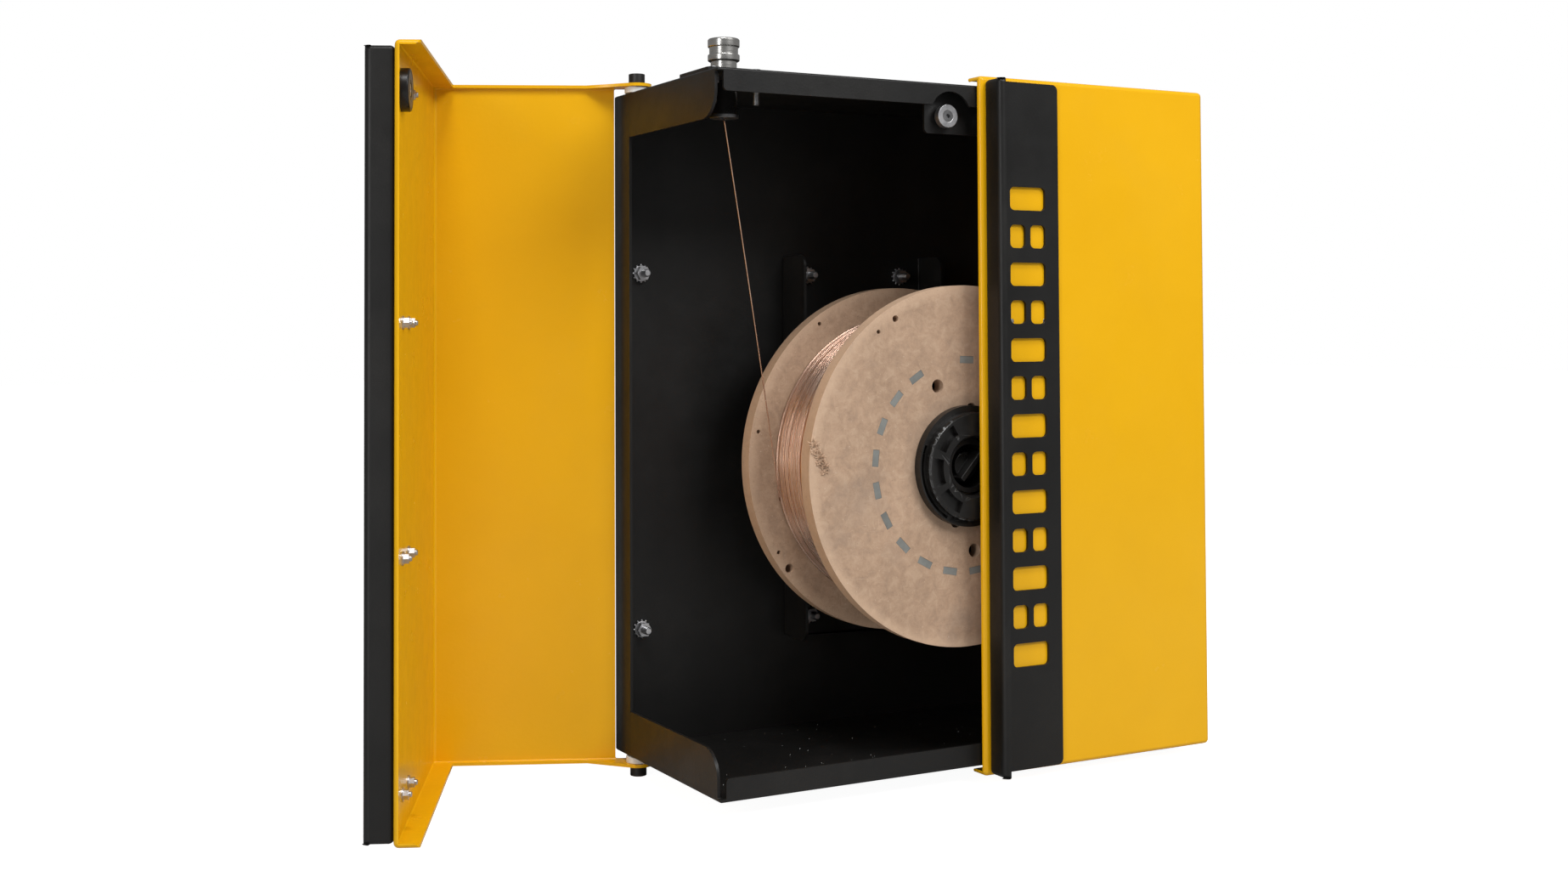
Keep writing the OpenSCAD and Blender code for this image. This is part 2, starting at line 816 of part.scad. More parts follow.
// Handle strip: slotted base on the door, bar bent up along the free edge, inward lip
module handle() {
    h = handle_z2 - handle_z1;
    wall_y = door_out_y - handle_rise;
    translate([handle_x1, door_out_y, handle_z1]) rotate([90, 0, 0]) linear_extrude(sheet)
        difference() {
            union() {
                square([20, h]);
                round_rect(handle_x2 - handle_x1, h, 6);
            }
            translate([-handle_x1, -handle_z1]) handle_slots();
        }
    block(handle_x1, wall_y + fold_r, handle_z1, handle_x1 + sheet, door_out_y, handle_z2);
    translate([handle_x1 + fold_r, wall_y + fold_r, handle_z1]) rotate([0, 0, 180])
        rotate_extrude(angle = 90) translate([fold_r - sheet, 0]) square([sheet, h]);
    translate([handle_x1 + fold_r, wall_y + sheet, handle_z1]) rotate([90, 0, 0])
        linear_extrude(sheet) lip_outline(handle_lip_w - fold_r, h);
}

// Studs welded on the back of the strip
module handle_studs() {
    handle_stud_places() {
        bar_y(0, 0, door_out_y, door_in_y + 7.5, handle_stud_r);
        translate([0, door_in_y + 7.5, 0]) rotate([-90, 0, 0])
            cylinder(r1 = handle_stud_r, r2 = handle_stud_r - 0.7, h = 0.8);
    }
}

module handle_nuts() {
    handle_stud_places() difference() {
        union() {
            bar_y(0, 0, door_in_y, door_in_y + 1.4, 5.9);
            hex_y(0, 0, door_in_y + 1.4, door_in_y + 5.8, 8);
        }
        bar_y(0, 0, door_in_y - 1, door_in_y + 9, handle_stud_r + fit);
    }
}

module magnet() {
    difference() {
        bar_y(catch_x, catch_z, door_in_y, door_in_y + magnet_h, magnet_r);
        bar_y(catch_x, catch_z, door_in_y - 1, door_in_y + magnet_h + 1, 3 + fit);
        bar_y(catch_x, catch_z, door_in_y + magnet_h - 3.5, door_in_y + magnet_h + 1, 5.6);
    }
}

module magnet_screw() {
    bar_y(catch_x, catch_z, door_out_y, door_in_y + magnet_h - 3.5, 3);
    difference() {
        bar_y(catch_x, catch_z, door_in_y + magnet_h - 3.5, door_in_y + magnet_h - 0.3, 5.3);
        hex_y(catch_x, catch_z, door_in_y + magnet_h - 2, door_in_y + magnet_h + 1, 4);
    }
}

module left_door() { color(yellow) left_side(left_open) door(); }
module left_handle() { color(black) left_side(left_open) handle(); }
module left_handle_studs() { color(black) left_side(left_open) handle_studs(); }
module left_handle_nuts() { color(zinc) left_side(left_open) handle_nuts(); }
module left_magnet() { color(black) left_side(left_open) magnet(); }
module left_magnet_screw() { color(zinc) left_side(left_open) magnet_screw(); }
module right_door() { color(yellow) right_side(right_open) door(); }
module right_handle() { color(black) right_side(right_open) handle(); }
module right_handle_studs() { color(black) right_side(right_open) handle_studs(); }
module right_handle_nuts() { color(zinc) right_side(right_open) handle_nuts(); }
module right_magnet() { color(black) right_side(right_open) magnet(); }
module right_magnet_screw() { color(zinc) right_side(right_open) magnet_screw(); }

back_panel();
top_tray();
bottom_tray();
strike_bracket();
strike_buttons();
strike_screws();
spool_bracket();
bracket_studs();
bracket_washers();
bracket_nuts();
wall_studs();
wall_washers();
wall_nuts();
hinge_screws();
hinge_spacers();
hinge_weld_nuts();
spindle();
spindle_screws();
brake_washer();
thrust_washer();
brake_springs();
brake_knob();
hub_sleeve();
hub_bushes();
drive_pin();
hub_cap();
reel_front_flange();
reel_rear_flange();
reel_staves();
copper_winding();
feed_wire();
outlet_plate();
outlet_screws();
outlet_nuts();
outlet_body();
release_collar();
wire_guide();
guide_eyelet();
left_door();
left_handle();
left_handle_studs();
left_handle_nuts();
left_magnet();
left_magnet_screw();
right_door();
right_handle();
right_handle_studs();
right_handle_nuts();
right_magnet();
right_magnet_screw();
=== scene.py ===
"""Wire reel enclosure: powder-coated steel frame and doors, braked reel hub, wound wire."""
import json
import math
import random

import bmesh
import bpy
from mathutils import Matrix, Vector

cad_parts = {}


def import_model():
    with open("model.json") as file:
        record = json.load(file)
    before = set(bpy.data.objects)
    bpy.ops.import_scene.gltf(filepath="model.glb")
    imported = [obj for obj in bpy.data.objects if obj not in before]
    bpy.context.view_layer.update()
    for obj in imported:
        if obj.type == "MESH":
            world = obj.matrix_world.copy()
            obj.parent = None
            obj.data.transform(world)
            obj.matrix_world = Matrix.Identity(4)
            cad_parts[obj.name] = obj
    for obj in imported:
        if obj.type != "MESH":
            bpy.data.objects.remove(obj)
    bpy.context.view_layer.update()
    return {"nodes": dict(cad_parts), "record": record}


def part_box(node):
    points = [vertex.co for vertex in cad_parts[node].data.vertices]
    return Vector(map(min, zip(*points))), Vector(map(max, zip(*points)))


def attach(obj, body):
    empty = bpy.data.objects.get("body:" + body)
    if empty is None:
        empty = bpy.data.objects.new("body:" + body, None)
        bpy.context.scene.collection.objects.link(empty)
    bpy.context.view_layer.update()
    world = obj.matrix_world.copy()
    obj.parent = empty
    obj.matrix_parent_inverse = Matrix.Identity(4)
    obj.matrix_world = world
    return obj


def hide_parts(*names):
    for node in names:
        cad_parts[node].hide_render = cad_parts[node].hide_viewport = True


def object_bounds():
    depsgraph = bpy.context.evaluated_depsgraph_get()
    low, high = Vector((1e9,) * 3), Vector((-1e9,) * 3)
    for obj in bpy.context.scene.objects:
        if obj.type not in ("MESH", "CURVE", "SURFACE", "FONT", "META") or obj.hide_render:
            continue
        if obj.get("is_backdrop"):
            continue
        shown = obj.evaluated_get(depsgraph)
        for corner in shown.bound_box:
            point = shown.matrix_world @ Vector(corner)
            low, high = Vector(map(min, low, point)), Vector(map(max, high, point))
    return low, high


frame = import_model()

BODY_OF = {node: body for body, nodes in frame["record"]["behaviour"]["bodies"].items() for node in nodes}
SLOT_OF = {row["node"]: row["material_slot"] for row in frame["record"]["subparts"]}
MM = 0.001
QUARTER = math.pi / 2
REEL_Y = -143.5 * MM        # middle of the reel's width
REEL_Z = -11 * MM           # height of the reel axis
HINGE_X = 267 * MM
HINGE_Y = -34 * MM
LEFT_OPEN = math.radians(114)


# ---------------------------------------------------------------- node helpers

class Tree:
    """Short calls for building a shader or group tree."""

    def __init__(self, tree):
        self.tree = tree

    def node(self, kind, **values):
        made = self.tree.nodes.new(kind)
        for name, value in values.items():
            setattr(made, name, value)
        return made

    def link(self, source, target):
        self.tree.links.new(source, target)

    def feed(self, node, name, value):
        socket = node.inputs[name]
        if isinstance(value, bpy.types.NodeSocket):
            self.link(value, socket)
        else:
            socket.default_value = value

    def noise(self, vector, scale, detail=3.0, roughness=0.55, distortion=0.0):
        made = self.node("ShaderNodeTexNoise")
        for name, value in (("Vector", vector), ("Scale", scale), ("Detail", detail),
                            ("Roughness", roughness), ("Distortion", distortion)):
            self.feed(made, name, value)
        return made.outputs["Fac"]

    def ramp(self, value, low, high, to_low=0.0, to_high=1.0):
        made = self.node("ShaderNodeMapRange")
        for name, number in (("Value", value), ("From Min", low), ("From Max", high),
                             ("To Min", to_low), ("To Max", to_high)):
            self.feed(made, name, number)
        return made.outputs["Result"]

    def math(self, operation, first, second=0.0):
        made = self.node("ShaderNodeMath", operation=operation)
        self.feed(made, 0, first)
        self.feed(made, 1, second)
        return made.outputs[0]

    def mix(self, share, first, second):
        made = self.node("ShaderNodeMix", data_type="RGBA")
        self.feed(made, 0, share)
        self.feed(made, 6, first)
        self.feed(made, 7, second)
        return made.outputs[2]

    def stretch(self, vector, scale):
        made = self.node("ShaderNodeMapping")
        self.feed(made, "Vector", vector)
        made.inputs["Scale"].default_value = scale
        return made.outputs["Vector"]

    def bump(self, height, strength, distance):
        made = self.node("ShaderNodeBump")
        made.inputs["Strength"].default_value = strength
        made.inputs["Distance"].default_value = distance
        self.link(height, made.inputs["Height"])
        return made.outputs["Normal"]


def rgb(*values):
    return (*values, 1.0)


def make_group(name, inputs, outputs, build):
    """A shader node group: inputs maps names to (socket kind, default), build fills the tree."""
    group = bpy.data.node_groups.new(name, "ShaderNodeTree")
    for socket, (kind, default) in inputs.items():
        made = group.interface.new_socket(socket, in_out="INPUT", socket_type=kind)
        if default is not None:
            made.default_value = default
    for socket, kind in outputs.items():
        group.interface.new_socket(socket, in_out="OUTPUT", socket_type=kind)
    tree = Tree(group)
    given = tree.node("NodeGroupInput").outputs
    results = build(tree, given)
    out = tree.node("NodeGroupOutput")
    for socket, value in results.items():
        tree.link(value, out.inputs[socket])
    return group


def build_powder(tree, given):
    """Orange peel and fine speckle of a baked powder coat, with slow drifts of tone."""
    where = given["Vector"]
    peel = tree.noise(where, given["Peel Scale"], 2.0, 0.5)
    speckle = tree.noise(where, given["Speckle Scale"], 4.0, 0.7)
    drift = tree.noise(where, 7.0, 3.0, 0.6)
    height = tree.math("ADD", peel, tree.math("MULTIPLY", speckle, 0.35))
    tone = tree.math("ADD", tree.math("MULTIPLY", drift, 0.75), tree.math("MULTIPLY", speckle, 0.25))
    gloss = tree.ramp(tree.noise(where, 26.0, 5.0, 0.65), 0.35, 0.7)
    return {"Height": height, "Tone": tone, "Gloss": gloss}


def build_dust(tree, given):
    """Soft patches with fine grains, for dust and hand marks."""
    where = given["Vector"]
    patch = tree.ramp(tree.noise(where, given["Patch Scale"], 6.0, 0.62), 0.52, 0.74)
    grain = tree.ramp(tree.noise(where, 900.0, 2.0, 0.6), 0.45, 0.7)
    return {"Mask": tree.math("MULTIPLY", patch, tree.math("ADD", tree.math("MULTIPLY", grain, 0.6), 0.4))}


def build_scuffs(tree, given):
    """Thin scratches in two directions, broken up by a slow mask."""
    where = given["Vector"]
    one = tree.noise(tree.stretch(where, (900.0, 40.0, 60.0)), 1.0, 2.0, 0.5)
    two = tree.noise(tree.stretch(where, (50.0, 60.0, 800.0)), 1.0, 2.0, 0.5)
    broken = tree.ramp(tree.noise(where, 14.0, 3.0, 0.6), 0.45, 0.65)
    lines = tree.math("MAXIMUM", tree.ramp(one, 0.66, 0.74), tree.ramp(two, 0.68, 0.76))
    return {"Mask": tree.math("MULTIPLY", lines, broken)}


VECTOR = ("NodeSocketVector", None)
POWDER = make_group("powder_texture",
                    {"Vector": VECTOR, "Peel Scale": ("NodeSocketFloat", 420.0),
                     "Speckle Scale": ("NodeSocketFloat", 1500.0)},
                    {"Height": "NodeSocketFloat", "Tone": "NodeSocketFloat", "Gloss": "NodeSocketFloat"},
                    build_powder)
DUST = make_group("dust", {"Vector": VECTOR, "Patch Scale": ("NodeSocketFloat", 9.0)},
                  {"Mask": "NodeSocketFloat"}, build_dust)
SCUFFS = make_group("scuffs", {"Vector": VECTOR}, {"Mask": "NodeSocketFloat"}, build_scuffs)


def start_material(name, metallic=0.0, **sockets):
    """A material with a Principled BSDF; returns (material, tree, shader, object coordinates)."""
    material = bpy.data.materials.new(name)
    material.use_nodes = True
    tree = Tree(material.node_tree)
    shader = material.node_tree.nodes["Principled BSDF"]
    shader.inputs["Metallic"].default_value = metallic
    for socket, value in sockets.items():
        shader.inputs[socket.replace("_", " ")].default_value = value
    where = tree.node("ShaderNodeTexCoord").outputs["Object"]
    return material, tree, shader, where


def place_group(tree, group, where, **sockets):
    made = tree.node("ShaderNodeGroup")
    made.node_tree = group
    tree.feed(made, "Vector", where)
    for socket, value in sockets.items():
        made.inputs[socket.replace("_", " ")].default_value = value
    return made.outputs


# ---------------------------------------------------------------- materials

def powder_coat(name, dark, light, dust, rough, peel, speckle, depth, specular):
    """Baked powder coat: orange peel, fine speckle, a little dust and uneven gloss."""
    material, tree, shader, where = start_material(name, Specular_IOR_Level=specular)
    powder = place_group(tree, POWDER, where, Peel_Scale=peel, Speckle_Scale=speckle)
    dusty = place_group(tree, DUST, where, Patch_Scale=8.0)["Mask"]
    tone = tree.ramp(powder["Tone"], 0.3, 0.7)
    colour = tree.mix(tone, rgb(*dark), rgb(*light))
    colour = tree.mix(tree.math("MULTIPLY", dusty, 0.10), colour, rgb(*dust))
    tree.feed(shader, "Base Color", colour)
    tree.feed(shader, "Roughness", tree.ramp(powder["Gloss"], 0.0, 1.0, rough - 0.05, rough + 0.06))
    tree.feed(shader, "Normal", tree.bump(powder["Height"], 0.35, depth))
    return material


def metal(name, dark, light, rough, streaks, depth=0.00003, metallic=1.0):
    """Machined or plated metal: slow tarnish, fine streaks along the given axis weights."""
    material, tree, shader, where = start_material(name, metallic=metallic)
    tarnish = tree.noise(where, 60.0, 5.0, 0.62)
    streak = tree.noise(tree.stretch(where, streaks), 1.0, 3.0, 0.6)
    colour = tree.mix(tree.ramp(tarnish, 0.35, 0.7), rgb(*dark), rgb(*light))
    colour = tree.mix(tree.math("MULTIPLY", tree.ramp(streak, 0.4, 0.7), 0.35), colour, rgb(*dark))
    tree.feed(shader, "Base Color", colour)
    tree.feed(shader, "Roughness", tree.ramp(streak, 0.25, 0.75, rough - 0.06, rough + 0.1))
    tree.feed(shader, "Normal", tree.bump(streak, 0.25, depth))
    return material


def moulded(name, dark, light, rough, depth, dirt=1.0):
    """Injection-moulded plastic: fine spark texture, faint rub marks and dust."""
    material, tree, shader, where = start_material(name, Specular_IOR_Level=0.4)
    spark = tree.noise(where, 1300.0, 3.0, 0.6)
    cloud = tree.noise(where, 35.0, 4.0, 0.6)
    rub = place_group(tree, SCUFFS, where)["Mask"]
    dusty = place_group(tree, DUST, where, Patch_Scale=20.0)["Mask"]
    colour = tree.mix(tree.ramp(cloud, 0.3, 0.7), rgb(*dark), rgb(*light))
    colour = tree.mix(tree.math("MULTIPLY", rub, 0.12 * dirt), colour, rgb(0.16, 0.15, 0.14))
    colour = tree.mix(tree.math("MULTIPLY", dusty, 0.08 * dirt), colour, rgb(0.35, 0.30, 0.25))
    tree.feed(shader, "Base Color", colour)
    tree.feed(shader, "Roughness", tree.ramp(cloud, 0.3, 0.7, rough - 0.05, rough + 0.08))
    tree.feed(shader, "Normal", tree.bump(spark, 0.3, depth))
    return material


def from_axis(tree, where):
    """Distance from the reel axis, in metres."""
    parts = tree.node("ShaderNodeSeparateXYZ")
    tree.link(where, parts.inputs[0])
    up = tree.math("SUBTRACT", parts.outputs["Z"], REEL_Z)
    squares = tree.math("ADD", tree.math("POWER", parts.outputs["X"], 2.0), tree.math("POWER", up, 2.0))
    return tree.math("SQRT", squares)


def fibreboard(name, pale_by):
    """Bare pressed board: short fibres, dark flecks, mottling, hand smudges and a worn pale rim."""
    material, tree, shader, where = start_material(name, Specular_IOR_Level=0.3)
    fibre = tree.noise(where, 260.0, 6.0, 0.7, 1.2)
    cloud = tree.noise(where, 16.0, 5.0, 0.6)
    fleck = tree.ramp(tree.noise(where, 700.0, 2.0, 0.5), 0.66, 0.74)
    pale = tree.ramp(tree.noise(tree.stretch(where, (1.0, 1.0, 1.35)), 410.0, 2.0, 0.5), 0.68, 0.76)
    smudge = tree.ramp(tree.noise(where, 5.5, 6.0, 0.68), 0.52, 0.76)
    rub = place_group(tree, SCUFFS, where)["Mask"]
    waver = tree.math("MULTIPLY", tree.noise(where, 45.0, 4.0, 0.6), 0.008)
    radius = tree.math("ADD", from_axis(tree, where), waver)
    rim = tree.ramp(radius, 0.1655, 0.1745)
    inner = tree.math("MULTIPLY", tree.ramp(radius, 0.078, 0.066), 0.8)
    dark, light = (0.335, 0.218, 0.142), (0.455, 0.300, 0.200)
    colour = tree.mix(tree.ramp(cloud, 0.3, 0.72), rgb(*(v * pale_by for v in dark)),
                      rgb(*(v * pale_by for v in light)))
    mottle = tree.noise(where, 85.0, 4.0, 0.72, 0.6)
    layers = ((tree.ramp(mottle, 0.50, 0.68), 0.45, (0.23, 0.155, 0.110)),
              (tree.ramp(mottle, 0.50, 0.34), 0.40, (0.56, 0.41, 0.29)),
              (tree.ramp(fibre, 0.35, 0.65), 0.35, (0.54, 0.385, 0.27)),
              (rim, 0.55, (0.60, 0.42, 0.29)),
              (inner, 0.35, (0.24, 0.175, 0.13)),
              (fleck, 0.5, (0.16, 0.10, 0.065)),
              (pale, 0.5, (0.68, 0.55, 0.43)),
              (smudge, 0.5, (0.20, 0.175, 0.160)),
              (rub, 0.35, (0.62, 0.48, 0.35)))
    for mask, share, tint in layers:
        colour = tree.mix(tree.math("MULTIPLY", mask, share), colour, rgb(*tint))
    tree.feed(shader, "Base Color", colour)
    tree.feed(shader, "Roughness", tree.ramp(fibre, 0.3, 0.7, 0.62, 0.82))
    height = tree.math("ADD", fibre, tree.math("MULTIPLY", rim, 0.8))
    tree.feed(shader, "Normal", tree.bump(height, 0.4, 0.00015))
    return material


def wound_wire(name):
    """Drawn copper-coloured wire: bright, with slight tarnish from turn to turn."""
    material, tree, shader, where = start_material(name, metallic=1.0)
    tarnish = tree.noise(where, 22.0, 5.0, 0.65)
    turn = tree.noise(tree.stretch(where, (6.0, 620.0, 6.0)), 1.0, 2.0, 0.5)
    colour = tree.mix(tree.ramp(tarnish, 0.35, 0.7), rgb(0.56, 0.37, 0.28), rgb(0.76, 0.56, 0.45))
    colour = tree.mix(tree.math("MULTIPLY", tree.ramp(turn, 0.45, 0.7), 0.4), colour, rgb(0.40, 0.24, 0.18))
    tree.feed(shader, "Base Color", colour)
    tree.feed(shader, "Roughness", tree.ramp(turn, 0.3, 0.7, 0.20, 0.36))
    tree.feed(shader, "Normal", tree.bump(turn, 0.2, 0.0001))
    return material


FINISHES = {
    "black_powder": powder_coat("satin_black_powder", (0.0060, 0.0058, 0.0056), (0.0105, 0.0100, 0.0096),
                                (0.10, 0.09, 0.08), 0.42, 520.0, 1900.0, 0.00022, 0.3),
    "yellow_powder": powder_coat("signal_yellow_powder", (0.77, 0.400, 0.003), (0.82, 0.435, 0.005),
                                 (0.56, 0.36, 0.06), 0.22, 260.0, 1100.0, 0.00030, 0.3),
    "zinc_plated": metal("clear_zinc", (0.42, 0.42, 0.43), (0.68, 0.68, 0.70), 0.34, (300.0, 900.0, 300.0)),
    "black_oxide": metal("black_oxide_steel", (0.018, 0.018, 0.019), (0.045, 0.044, 0.043), 0.40,
                         (700.0, 700.0, 200.0), metallic=0.6),
    "dark_steel": metal("dark_steel", (0.16, 0.16, 0.165), (0.34, 0.34, 0.345), 0.36, (400.0, 900.0, 400.0)),
    "white_nylon": moulded("white_nylon", (0.70, 0.71, 0.70), (0.82, 0.83, 0.82), 0.45, 0.00003),
    "nickel": metal("turned_nickel", (0.46, 0.45, 0.43), (0.66, 0.65, 0.63), 0.24,
                    (40.0, 40.0, 1800.0), 0.000004),
    "black_plastic": moulded("moulded_black_nylon", (0.0055, 0.0050, 0.0046), (0.0105, 0.0095, 0.0088),
                             0.30, 0.00003, 0.6),
    "fibreboard": fibreboard("bare_fibreboard", 1.0),
    "stave_board": moulded("grey_slat_ends", (0.135, 0.140, 0.132), (0.225, 0.230, 0.215), 0.6, 0.00008),
    "copper_wire": wound_wire("copper_wire"),
    "bronze": metal("sintered_bronze", (0.35, 0.23, 0.10), (0.58, 0.40, 0.19), 0.45, (900.0, 900.0, 900.0)),
    "friction_lining": moulded("brake_lining", (0.11, 0.065, 0.04), (0.2, 0.12, 0.08), 0.7, 0.0002),
    "torn_board": fibreboard("torn_board_fibres", 1.35),
    "magnet_face": metal("magnet_face", (0.20, 0.20, 0.195), (0.36, 0.355, 0.34), 0.45,
                         (500.0, 500.0, 500.0)),
}


# ---------------------------------------------------------------- mesh helpers

def new_piece(name, mesh, body, slot, replaced=()):
    """Links a finished mesh, gives it its slot's finish and joins it to a body."""
    piece = bpy.data.objects.new(name, mesh)
    bpy.context.scene.collection.objects.link(piece)
    mesh.materials.clear()
    mesh.materials.append(FINISHES[slot])
    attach(piece, body)
    if replaced:
        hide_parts(*replaced)
    return piece


def applied(mesh, *modifiers):
    """The mesh with modifiers applied: each is (kind, {property: value})."""
    carrier = bpy.data.objects.new("carrier", mesh)
    bpy.context.scene.collection.objects.link(carrier)
    for kind, values in modifiers:
        modifier = carrier.modifiers.new(kind.lower(), kind)
        for name, value in values.items():
            setattr(modifier, name, value)
    graph = bpy.context.evaluated_depsgraph_get()
    graph.update()
    result = bpy.data.meshes.new_from_object(carrier.evaluated_get(graph))
    bpy.data.objects.remove(carrier)
    return result


def merged_copy(node):
    """The CAD node's mesh with its doubled points merged and flat faces joined."""
    shape = bmesh.new()
    shape.from_mesh(frame["nodes"][node].data)
    bmesh.ops.remove_doubles(shape, verts=shape.verts, dist=0.003 * MM)
    bmesh.ops.dissolve_limit(shape, angle_limit=math.radians(0.4), verts=shape.verts, edges=shape.edges)
    return shape


def soften(shape, width, segments=2, angle=32.0):
    """Rounds every sharp edge by width and smooths the curved faces between them."""
    mesh = bpy.data.meshes.new("softened")
    shape.to_mesh(mesh)
    shape.free()
    for face in mesh.polygons:
        face.use_smooth = True
    mesh.set_sharp_from_angle(angle=math.radians(angle))
    bevel = {"width": width, "segments": segments, "limit_method": "ANGLE",
             "angle_limit": math.radians(angle), "harden_normals": True, "miter_outer": "MITER_ARC"}
    return applied(mesh, ("BEVEL", bevel), ("WEIGHTED_NORMAL", {"keep_sharp": False}))


def reach(face, edge):
    """How far a face extends from one of its edges."""
    start = edge.verts[0].co
    along = (edge.verts[1].co - start).normalized()
    return max((vert.co - start - along * (vert.co - start).dot(along)).length for vert in face.verts)


def round_folds(shape, outer, inner):
    """Rounds the folds of a sheet: every square edge between two faces wider than the sheet."""
    convex, concave = [], []
    for edge in shape.edges:
        if len(edge.link_faces) != 2:
            continue
        angle = edge.calc_face_angle_signed(0.0)
        if not math.radians(80) < abs(angle) < math.radians(100):
            continue
        if min(reach(face, edge) for face in edge.link_faces) > 5 * MM:
            (convex if angle > 0 else concave).append(edge)
    for chosen, radius in ((concave, inner), (convex, outer)):
        chosen = [edge for edge in chosen if edge.is_valid]
        if chosen:
            bmesh.ops.bevel(shape, geom=chosen, offset=radius, segments=5, profile=0.5,
                            affect="EDGES", clamp_overlap=False)


def refined(node, width, segments=2, folds=None):
    """A CAD node with its edges rounded, and its folds too where it is bent sheet."""
    shape = merged_copy(node)
    if folds:
        round_folds(shape, *folds)
    mesh = soften(shape, width * MM, segments)
    return new_piece(node + "_finished", mesh, BODY_OF[node], SLOT_OF[node], (node,))


# ---------------------------------------------------------------- grown pieces

def grow_group(name, inputs, build):
    """A geometry tree: build turns the named inputs into instances, which are made real here."""
    group = bpy.data.node_groups.new(name, "GeometryNodeTree")
    group.interface.new_socket("Places", in_out="INPUT", socket_type="NodeSocketGeometry")
    shared = {"Turn": ("NodeSocketVector", (0.0, 0.0, 0.0)), "Material": ("NodeSocketMaterial", None)}
    for socket, (kind, default) in {**inputs, **shared}.items():
        made = group.interface.new_socket(socket, in_out="INPUT", socket_type=kind)
        if default is not None:
            made.default_value = default
    group.interface.new_socket("Geometry", in_out="OUTPUT", socket_type="NodeSocketGeometry")
    tree = Tree(group)
    given = tree.node("NodeGroupInput").outputs
    pattern = build(tree, given)
    placed = tree.node("GeometryNodeInstanceOnPoints")
    tree.link(given["Places"], placed.inputs["Points"])
    tree.link(pattern, placed.inputs["Instance"])
    tree.link(given["Turn"], placed.inputs["Rotation"])
    real = tree.node("GeometryNodeRealizeInstances")
    tree.link(placed.outputs["Instances"], real.inputs["Geometry"])
    finish = tree.node("GeometryNodeSetMaterial")
    tree.link(real.outputs["Geometry"], finish.inputs["Geometry"])
    tree.link(given["Material"], finish.inputs["Material"])
    tree.link(finish.outputs["Geometry"], tree.node("NodeGroupOutput").inputs["Geometry"])
    return group


def random_value(tree, kind, low, high, seed):
    """A Random Value node's output: kind is FLOAT or FLOAT_VECTOR."""
    made = tree.node("FunctionNodeRandomValue", data_type=kind)
    first = 0 if kind == "FLOAT_VECTOR" else 2
    tree.feed(made, first, low)
    tree.feed(made, first + 1, high)
    tree.feed(made, "Seed", seed)
    return made.outputs[0 if kind == "FLOAT_VECTOR" else 1]


def build_ring_stack(tree, given):
    """Rings of round bar side by side: wound turns or thread crests."""
    ring = tree.node("GeometryNodeCurvePrimitiveCircle")
    tree.feed(ring, "Resolution", given["Ring Steps"])
    tree.feed(ring, "Radius", given["Ring Radius"])
    bar = tree.node("GeometryNodeCurvePrimitiveCircle")
    tree.feed(bar, "Resolution", given["Bar Steps"])
    tree.feed(bar, "Radius", given["Bar Radius"])
    swept = tree.node("GeometryNodeCurveToMesh")
    tree.link(ring.outputs["Curve"], swept.inputs["Curve"])
    tree.link(bar.outputs["Curve"], swept.inputs["Profile Curve"])
    row = tree.node("GeometryNodeMeshLine")
    tree.feed(row, "Count", given["Count"])
    step = tree.node("ShaderNodeCombineXYZ")
    tree.feed(step, "Z", given["Pitch"])
    tree.feed(row, "Offset", step.outputs["Vector"])
    size = random_value(tree, "FLOAT", tree.math("SUBTRACT", 1.0, given["Slack"]), 1.0, given["Seed"])
    stack = tree.node("GeometryNodeInstanceOnPoints")
    tree.link(row.outputs["Mesh"], stack.inputs["Points"])
    tree.link(swept.outputs["Mesh"], stack.inputs["Instance"])
    tree.link(size, stack.inputs["Scale"])
    return stack.outputs["Instances"]


def build_spoke_ring(tree, given):
    """Blocks round a circle, with one place left out: reel slats or washer teeth."""
    circle = tree.node("GeometryNodeMeshCircle")
    tree.feed(circle, "Vertices", given["Count"])
    tree.feed(circle, "Radius", given["Circle Radius"])
    block = tree.node("GeometryNodeMeshCube")
    tree.feed(block, "Size", given["Block Size"])
    index = tree.node("GeometryNodeInputIndex").outputs["Index"]
    kept = tree.node("FunctionNodeCompare", data_type="INT", operation="NOT_EQUAL")
    tree.link(index, kept.inputs[2])
    tree.link(given["Missing"], kept.inputs[3])
    angle = tree.math("DIVIDE", tree.math("MULTIPLY", index, 2.0 * math.pi), given["Count"])
    turn = tree.node("ShaderNodeCombineXYZ")
    tree.feed(turn, "Z", angle)
    spokes = tree.node("GeometryNodeInstanceOnPoints")
    tree.link(circle.outputs["Mesh"], spokes.inputs["Points"])
    tree.link(kept.outputs["Result"], spokes.inputs["Selection"])
    tree.link(block.outputs["Mesh"], spokes.inputs["Instance"])
    tree.link(turn.outputs["Vector"], spokes.inputs["Rotation"])
    return spokes.outputs["Instances"]


